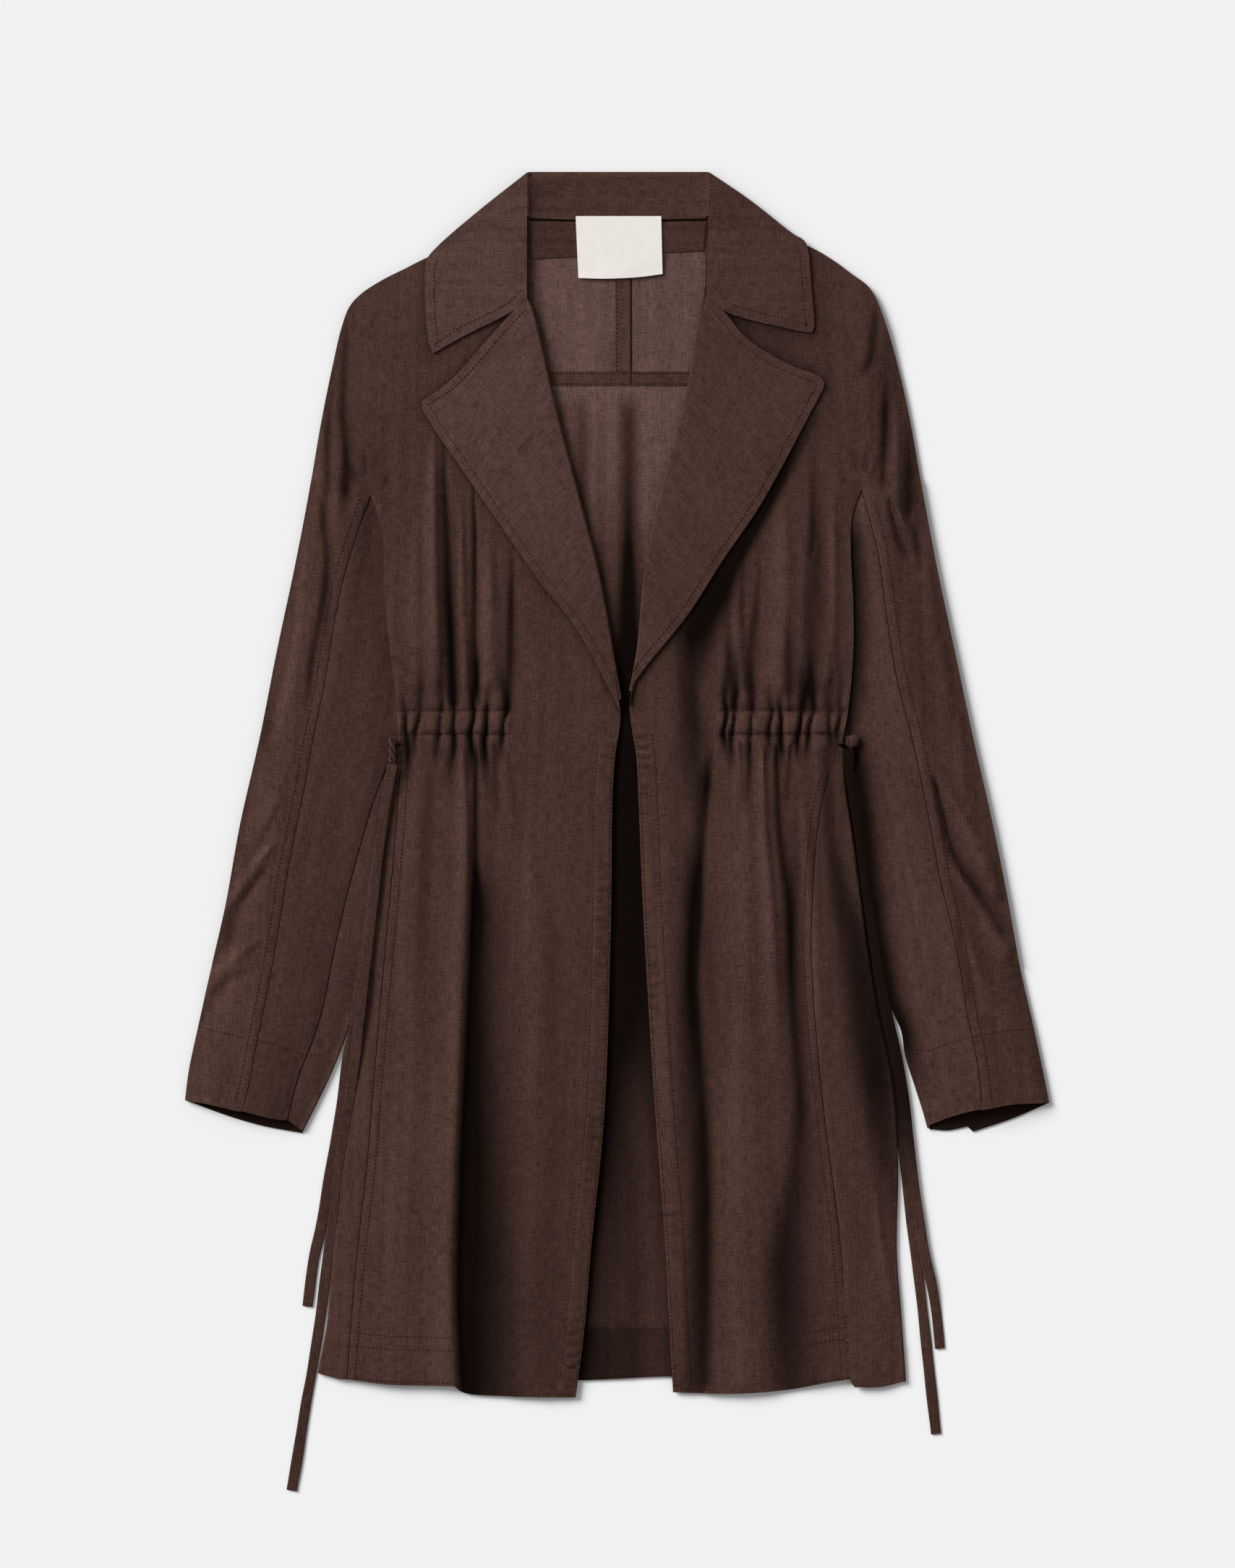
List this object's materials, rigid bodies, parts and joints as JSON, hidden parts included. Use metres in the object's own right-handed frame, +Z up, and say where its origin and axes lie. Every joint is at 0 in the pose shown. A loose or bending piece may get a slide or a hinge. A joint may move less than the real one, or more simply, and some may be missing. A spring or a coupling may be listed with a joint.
{
  "type": "duster coat",
  "caption": "Open-front sheer duster coat with notched lapels, gathered drawstring waist and cut-on sleeves, laid face up and flat on a surface.",
  "frame": {"origin": "on the surface that the coat lies on, below the middle of the outline of the coat without its ties", "axes": "+X to the right across the coat as seen from above, +Y from the hem to the collar, +Z up from the surface"},
  "size_m": [0.657, 1.0027, 0.0115],
  "materials": {
    "front_cloth": "matte linen-like voile, dark brown, two or more layers",
    "back_cloth": "matte linen-like voile, dark brown, a single sheer layer",
    "tie_cloth": "flat cord of the same cloth, dark brown",
    "label_cloth": "blank woven label, cream"
  },
  "bodies": {
    "root": {"back_lower": "back_cloth", "back_yoke_left": "back_cloth", "back_yoke_right": "back_cloth", "under_sleeve_left": "front_cloth", "under_sleeve_right": "front_cloth", "front_left": "front_cloth", "front_right": "front_cloth", "lapel_left": "front_cloth", "lapel_right": "front_cloth", "knot_left": "tie_cloth", "knot_right": "tie_cloth", "tie_left_short": "tie_cloth", "tie_left_long": "tie_cloth", "tie_right_long": "tie_cloth", "tie_right_short": "tie_cloth", "collar": "front_cloth", "neck_facing": "front_cloth", "label": "label_cloth"}
  },
  "joints": []
}
